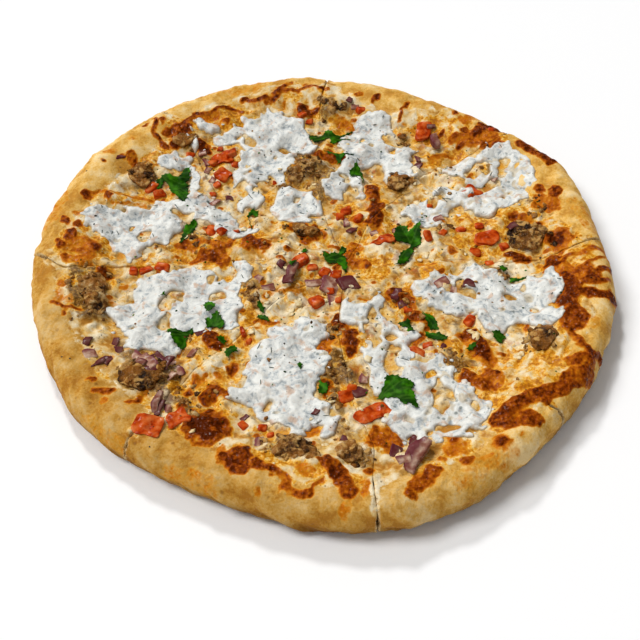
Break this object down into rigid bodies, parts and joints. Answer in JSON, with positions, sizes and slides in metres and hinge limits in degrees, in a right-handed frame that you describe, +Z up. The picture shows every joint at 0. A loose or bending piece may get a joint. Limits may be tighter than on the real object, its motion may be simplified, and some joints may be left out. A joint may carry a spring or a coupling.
{
  "type": "thick-crust pizza",
  "caption": "Round thick-crust pizza cut into wedges, with browned cheese, white yoghurt sauce, minced meat, diced tomato, red onion and parsley.",
  "frame": {"origin": "under the middle of the round, on the plane that the pizza lies on", "axes": "+Z up out of the toppings; the picture is taken from -Y, so +X is to its right"},
  "size_m": [0.3082, 0.313, 0.0237],
  "materials": {
    "crust": "golden baked dough, dry and finely porous, browned in spots",
    "cheese": "melted mozzarella, satin, cream to deep brown where blistered",
    "sauce": "thick white yoghurt sauce with herb flecks, wet satin",
    "meat": "crumbled baked minced meat, rough with a slight fat shine",
    "tomato": "soft cooked tomato, wet",
    "onion": "cooked red onion, translucent and purple at the skin",
    "parsley": "fresh flat parsley, satin"
  },
  "bodies": {
    "root": {"crust_1": "crust", "crust_2": "crust", "crust_3": "crust", "crust_4": "crust", "crust_5": "crust", "crust_6": "crust", "crust_7": "crust", "crust_8": "crust", "cheese_1": "cheese", "cheese_2": "cheese", "cheese_3": "cheese", "cheese_4": "cheese", "cheese_5": "cheese", "cheese_6": "cheese", "cheese_7": "cheese", "cheese_8": "cheese", "sauce_1": "sauce", "sauce_2": "sauce", "sauce_3": "sauce", "sauce_3b": "sauce", "sauce_4": "sauce", "sauce_5": "sauce", "sauce_6": "sauce", "sauce_7": "sauce", "sauce_8": "sauce", "meat_1": "meat", "meat_2": "meat", "meat_3": "meat", "meat_4": "meat", "meat_5": "meat", "meat_6": "meat", "meat_7": "meat", "meat_8": "meat", "meat_9": "meat", "meat_10": "meat", "meat_11": "meat", "meat_12": "meat", "meat_13": "meat", "tomato_1": "tomato", "tomato_2": "tomato", "tomato_3": "tomato", "tomato_4": "tomato", "tomato_5": "tomato", "tomato_6": "tomato", "tomato_7": "tomato", "tomato_8": "tomato", "tomato_9": "tomato", "onion_1": "onion", "onion_2": "onion", "onion_3": "onion", "onion_4": "onion", "parsley_1": "parsley", "parsley_2": "parsley", "parsley_3": "parsley", "parsley_4": "parsley", "parsley_5": "parsley", "parsley_6": "parsley", "parsley_7": "parsley", "parsley_8": "parsley", "parsley_9": "parsley"}
  },
  "joints": []
}
